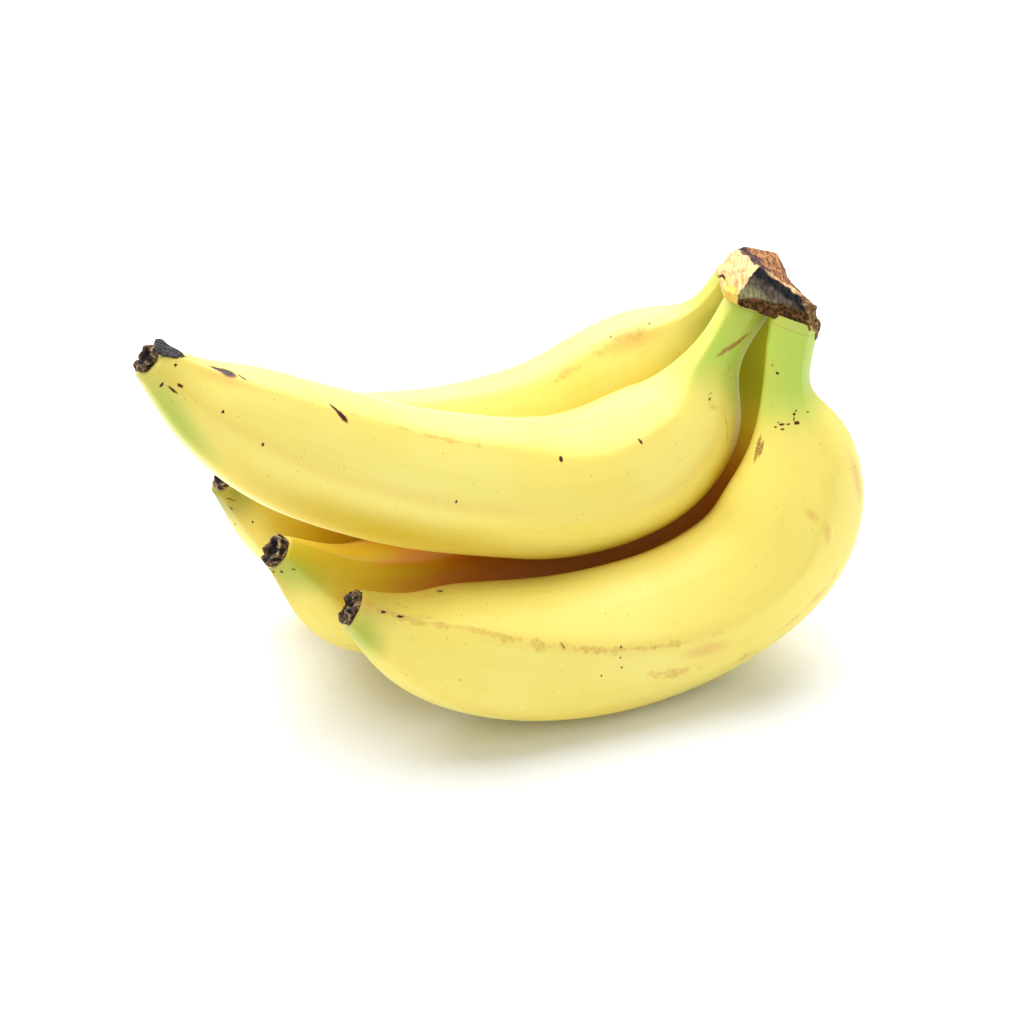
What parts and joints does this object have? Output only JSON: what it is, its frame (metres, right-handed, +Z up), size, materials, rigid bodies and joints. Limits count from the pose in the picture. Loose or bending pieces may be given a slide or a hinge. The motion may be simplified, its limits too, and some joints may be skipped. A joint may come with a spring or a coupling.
{
  "type": "bunch of bananas",
  "caption": "Bunch of ripe yellow bananas: curved, softly ridged fingers in an upper and a lower row, green necks joined at a woody cut crown, dark dried blossom ends.",
  "frame": {"origin": "on the table, under the middle of the bunch's bounding box", "axes": "+X from the blossom ends to the crown, +Y across the hand away from its near side, +Z up"},
  "size_m": [0.193, 0.1144, 0.1172],
  "materials": {
    "peel": "satin",
    "crown": "matte",
    "blossom_end": "matte"
  },
  "bodies": {
    "root": {"crown": "crown", "banana_lower_near": "peel", "blossom_end_lower_near": "blossom_end", "banana_lower_middle": "peel", "blossom_end_lower_middle": "blossom_end", "banana_lower_far": "peel", "blossom_end_lower_far": "blossom_end", "banana_upper_near": "peel", "blossom_end_upper_near": "blossom_end", "banana_upper_far": "peel", "blossom_end_upper_far": "blossom_end"}
  },
  "joints": []
}
